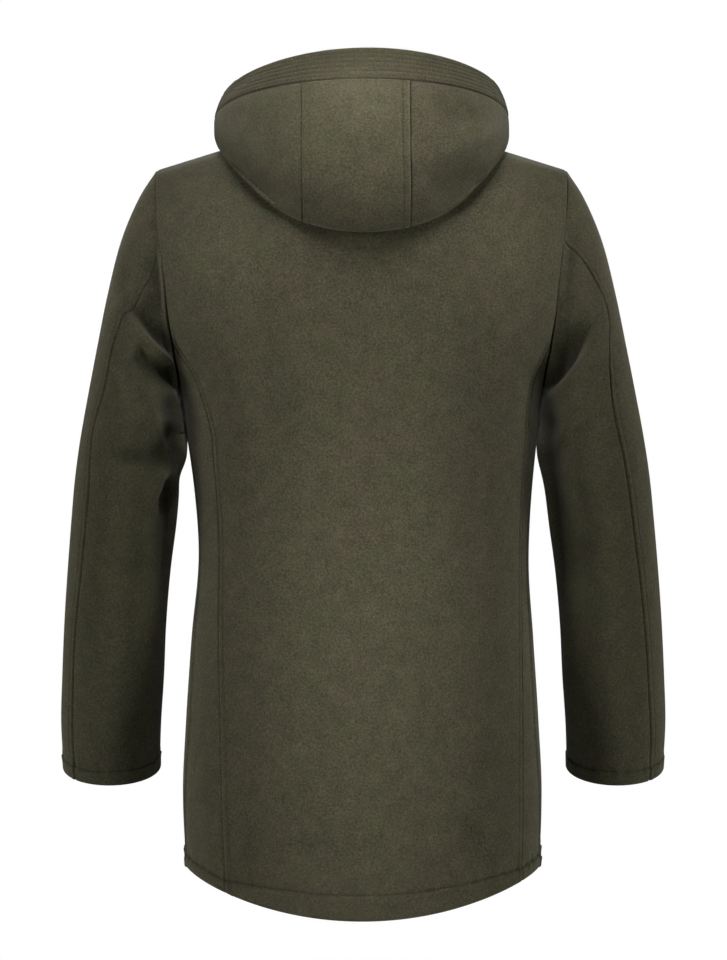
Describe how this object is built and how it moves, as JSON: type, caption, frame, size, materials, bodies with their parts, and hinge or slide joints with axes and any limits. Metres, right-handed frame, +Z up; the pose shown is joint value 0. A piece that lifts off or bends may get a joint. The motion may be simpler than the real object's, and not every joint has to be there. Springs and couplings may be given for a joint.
{
  "type": "parka",
  "caption": "Hooded wool parka to the upper thigh, with set-in sleeves, a dipped back hem and a plain lapped front, filled out as worn with its hood down.",
  "frame": {"origin": "middle of the neck opening, level with the inner ends of the shoulder seams, where a wearer or a form holds the coat", "axes": "+Z up, the front faces -Y, the wearer's left is +X"},
  "size_m": [0.6838, 0.3072, 0.9421],
  "materials": {
    "wool": "matt brushed wool coating, dark olive brown with a fine lighter and darker fleck",
    "thread": "matt sewing thread, a shade darker than the cloth"
  },
  "bodies": {
    "root": {"back_centre": "wool", "back_side_left": "wool", "back_side_right": "wool", "front_left": "wool", "front_right": "wool", "sleeve_top_left": "wool", "sleeve_top_right": "wool", "sleeve_under_left": "wool", "sleeve_under_right": "wool", "hood_centre": "wool", "hood_side_left": "wool", "hood_side_right": "wool", "hood_band": "wool"}
  },
  "joints": []
}
